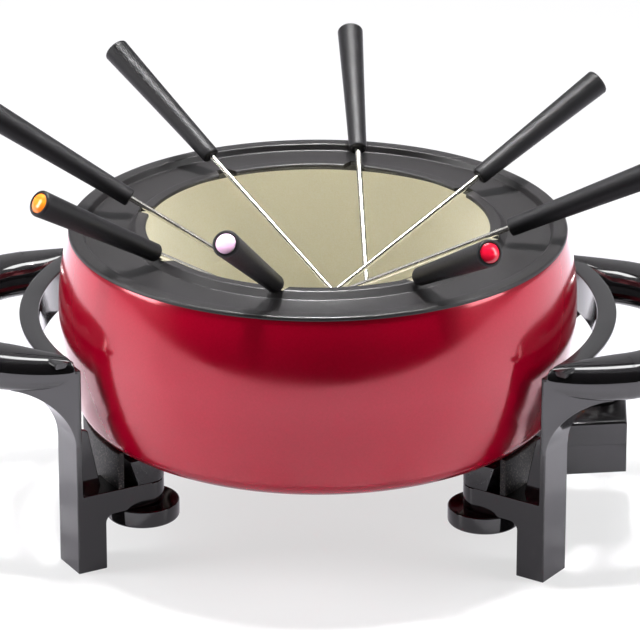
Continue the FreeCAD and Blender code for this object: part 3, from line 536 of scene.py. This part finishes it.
def turned_along(profile, origin, axis, steps=64):
    """Surface of revolution about any line: the point (radius, distance) goes that far along the
    axis and that far out from it."""
    axis = Vector(axis).normalized()
    places, faces = turned(profile, steps, loop=False)
    spin = np.array(axis.to_track_quat("Z", "Y").to_matrix())
    return places @ spin.T + np.array(origin), faces


button_colours = {"yellow": (1, "#E9B90F"), "green": (2, "#1E9A3F"), "blue": (3, "#1757B8"),
                  "white": (4, "#EDECE6"), "purple": (5, "#6B2C91"), "orange": (6, "#F07A1A"),
                  "pink": (7, "#E7B9DA"), "red": (8, "#CF1030")}
handle_thin, handle_thick, button_radius = 4.25, 6.1, 4.5
for colour, (number, code) in button_colours.items():
    fork = "fork_%d" % number
    axis = next(j["axis"] for j in frame["joints"] if j["name"] == fork + "_pull")
    axis = np.array(axis) / np.linalg.norm(axis)
    corners = np.array([v.co for v in frame["nodes"][fork + "_handle"].data.vertices]) / MM
    along = corners @ axis
    flat = corners - along[:, None] * axis
    middle = (flat[along > along.max() - 0.6].max(0) + flat[along > along.max() - 0.6].min(0)) / 2
    start, length = middle + axis * along.min(), np.ptp(along)
    swell = np.linspace(0, 1, 24)
    sides = np.stack([handle_thin + (handle_thick - handle_thin) * swell ** 1.15,
                      1 + (length - 2.4) * swell], 1)
    grip = ([(0, 0.2), (1.6, 0.2), (2.6, 0)] + arc((3.2, 0), (handle_thin, 1), 1.15, 4)
            + list(map(tuple, sides[1:])) + arc(sides[-1], (handle_thick - 1.2, length), 1.3, 6)
            + [(button_radius + 0.5, length), (button_radius + 0.12, length - 0.45),
               (button_radius + 0.1, length - 2.5), (0, length - 2.5)])
    put(fork + "_grip", fork, matt_grip, [turned_along(grip, start, axis)],
        replaces=[fork + "_handle"])
    dome = [(0, length - 3), (button_radius, length - 3), (button_radius, length - 0.35)]
    dome += arc(dome[-1], (0, length + 0.9), 6.4, 10)
    glossy, tree, shader, place = new_finish("glossy %s plastic" % colour, code, Roughness=0.12,
                                             IOR=1.5, Subsurface_Weight=0.05)
    tree.links.new(spread(tree, grain(tree, place, 2.5), 0.08, 0.16), shader.inputs["Roughness"])
    put(fork + "_colour_button", fork, glossy, [turned_along(dome, start, axis, 48)],
        replaces=[fork + "_button"])
    refinish(fork + "_shaft", stainless)


# ---- Heating ring, plug guard and terminals ------------------------------------------------------
# Steel-sheathed element pressed into its cast groove, with ceramic beads and plated pins, under a
# pressed sheet trough that steers the plug-in probe.

element_sheath, tree, shader, place = new_finish("heat-tinted steel sheath", "#6E665C", Roughness=0.38,
                                                 Metallic=1.0)
tint(tree, shader, spread(tree, grain(tree, place, 14, 3), 0, 1), "#5B5149", "#85796A")
steatite, tree, shader, place = new_finish("unglazed steatite", "#DAD4C6", Roughness=0.7)
roughen(tree, shader, grain(tree, place, 0.3, 3), 0.02, 0.6)
pressed_sheet, tree, shader, place = new_finish("galvanised sheet", "#A9ABAC", Roughness=0.42, Metallic=1.0)
tint(tree, shader, spread(tree, grain(tree, place, 5, 2), 0, 1), "#9C9EA0", "#B7B9BA")
refinish("heating_element", element_sheath)
refinish("terminal_insulators", steatite)
refinish("terminal_pins", plated_steel)
refinish("guard_screws", plated_steel)
softened("plug_guard", "base", pressed_sheet, 0.25)


# ---- Temperature probe ---------------------------------------------------------------------------
# Two moulded case halves in satin black plastic round a steel sensor stem, with a thermostat dial
# and an indicator lamp on top, and a two-pin power inlet on the rear side.

satin_case, tree, shader, place = new_finish("satin black plastic", "#141314", Roughness=0.26, IOR=1.5)
tree.links.new(spread(tree, grain(tree, place, 0.7, 3), 0.15, 0.21), shader.inputs["Roughness"])
brass, tree, shader, place = new_finish("bright brass", "#D9B565", Roughness=0.22, Metallic=1.0)
tree.links.new(spread(tree, grain(tree, place, 0.8, 2), 0.16, 0.3), shader.inputs["Roughness"])
amber, tree, shader, place = new_finish("clear amber plastic", "#6E3412", Roughness=0.08, IOR=1.49,
                                        Transmission_Weight=0.6)
lamp_glass, tree, shader, place = new_finish("lamp glass", "#F4D9B8", Roughness=0.05, IOR=1.5,
                                             Transmission_Weight=0.8)
for node in ("probe_case_bottom", "probe_case_top", "power_inlet"):
    softened(node, "probe", satin_case, 0.45)
softened("temperature_dial", "dial", satin_case, 0.5)
for node, finish in (("probe_screws", plated_steel), ("sensor_stem", stainless),
                     ("contact_sleeves", brass), ("thermostat_block", steatite),
                     ("lamp_lens", amber), ("indicator_lamp", lamp_glass), ("inlet_pins", brass),
                     ("dial_shaft", plated_steel)):
    refinish(node, finish)


# ---- Table, light and camera ---------------------------------------------------------------------
# A seamless white table in a white studio: a soft light overhead and a small one straight above the
# bowl, one tall soft light at each side, and a darker room behind the camera that leaves the middle
# of the bowl deep red.

table, tree, shader, place = new_finish("white table top", "#CACACC", Roughness=0.35, IOR=1.45)
light_path = add_node(tree, "ShaderNodeLightPath", {})
seen = add_node(tree, "ShaderNodeMath", {0: light_path.outputs["Is Camera Ray"],
                                         1: light_path.outputs["Is Glossy Ray"]}, operation="MAXIMUM")
seen = add_node(tree, "ShaderNodeMath", {0: seen.outputs[0],
                                         1: light_path.outputs["Is Transmission Ray"]},
                operation="MAXIMUM")
# The camera sees the floor partly as its own white, so that it stays white and keeps the shadow.
own_white, white_strength = 0.6, 1.08
share = add_node(tree, "ShaderNodeMath", {0: seen.outputs[0], 1: own_white}, operation="MULTIPLY")
# Painted shade and painted light in reflections: there the table glows dimmer near the object and brighter
# away from it, a painted shadow of the pot on a lit table.
away = add_node(tree, "ShaderNodeVectorMath", {0: place}, operation="LENGTH")
reflection_glow_painted_shade = add_node(tree, "ShaderNodeMapRange", {"Value": away.outputs["Value"], "From Min": 0.12,
                                                 "From Max": 0.3, "To Min": 0.9, "To Max": 3.2})
shine = add_node(tree, "ShaderNodeMix", {"Factor": light_path.outputs["Is Camera Ray"],
                                         "A": reflection_glow_painted_shade.outputs["Result"], "B": white_strength})
# Painted bluish tint that only reflections of the table show.
reflection_painted_tint = add_node(tree, "ShaderNodeMix", {"Factor": light_path.outputs["Is Camera Ray"],
                                        "A": (0.99, 0.95, 1.05, 1), "B": (1, 1, 1, 1)},
                data_type="RGBA")
glow = add_node(tree, "ShaderNodeEmission", {"Color": reflection_painted_tint.outputs["Result"],
                                             "Strength": shine.outputs["Result"]})
veil = add_node(tree, "ShaderNodeMixShader", {0: share.outputs[0], 1: shader.outputs["BSDF"],
                                              2: glow.outputs["Emission"]})
tree.links.new(veil.outputs["Shader"], tree.nodes["Material Output"].inputs["Surface"])
mesh = bpy.data.meshes.new("table_top")
mesh.from_pydata([(-4, -0.52, 0), (4, -0.52, 0), (4, 6, 0), (-4, 6, 0)], [], [(0, 1, 2, 3)])
mesh.materials.append(table)
floor = bpy.data.objects.new("table_top", mesh)
bpy.context.scene.collection.objects.link(floor)


def soft_light(name, place, aim, size, power, opening=180):
    """Rectangular soft light at a place, aimed at a point, with its beam's opening in degrees."""
    lamp = bpy.data.lights.new(name, "AREA")
    lamp.shape = "RECTANGLE"
    lamp.size, lamp.size_y = size
    lamp.energy = power
    lamp.spread = math.radians(opening)
    holder = bpy.data.objects.new(name, lamp)
    holder.location = place
    holder.rotation_euler = (Vector(aim) - Vector(place)).to_track_quat("-Z", "Y").to_euler()
    bpy.context.scene.collection.objects.link(holder)


soft_light("overhead", (0, 0.3, 1.6), (0, 0, 0.1), (1.4, 0.45), 28)
soft_light("into_the_bowl", (0, 0.06, 1.3), (0, 0.01, 0.1), (0.2, 0.2), 1.6, 24)
soft_light("left_side", (-1.3, -0.22, 0.7), (0, 0, 0.1), (0.5, 0.9), 22)
soft_light("right_side", (1.3, -0.22, 0.7), (0, 0, 0.1), (0.5, 0.9), 13)

world = bpy.data.worlds.new("white studio")
world.use_nodes = True
tree = world.node_tree
way = add_node(tree, "ShaderNodeTexCoord", {}).outputs["Generated"]
parts = add_node(tree, "ShaderNodeSeparateXYZ", {"Vector": way})
behind = add_node(tree, "ShaderNodeMapRange", {"Value": parts.outputs["Y"], "From Min": -0.5,
                                               "From Max": -0.25, "To Min": 0, "To Max": 1})
room = add_node(tree, "ShaderNodeMix", {"Factor": behind.outputs["Result"], "A": (0.03, 0.03, 0.03, 1),
                                        "B": (0.55, 0.55, 0.57, 1)}, data_type="RGBA")
light_path = add_node(tree, "ShaderNodeLightPath", {})
white = add_node(tree, "ShaderNodeMix", {"Factor": light_path.outputs["Is Camera Ray"],
                                         "A": room.outputs["Result"], "B": (1, 1, 1, 1)},
                 data_type="RGBA")
tree.links.new(white.outputs["Result"], tree.nodes["Background"].inputs["Color"])
bpy.context.scene.world = world

camera = bpy.data.cameras.new("camera")
camera.sensor_width = 36
camera.lens = 267.16
holder = bpy.data.objects.new("camera", camera)
holder.location = (0.0894, -2.0365, 0.9242)
aim = Vector((0.00097, 0.00004, 0.0965))
holder.rotation_euler = (aim - holder.location).to_track_quat("-Z", "Y").to_euler()
bpy.context.scene.collection.objects.link(holder)
bpy.context.scene.camera = holder
bpy.context.scene.view_settings.view_transform = "Standard"
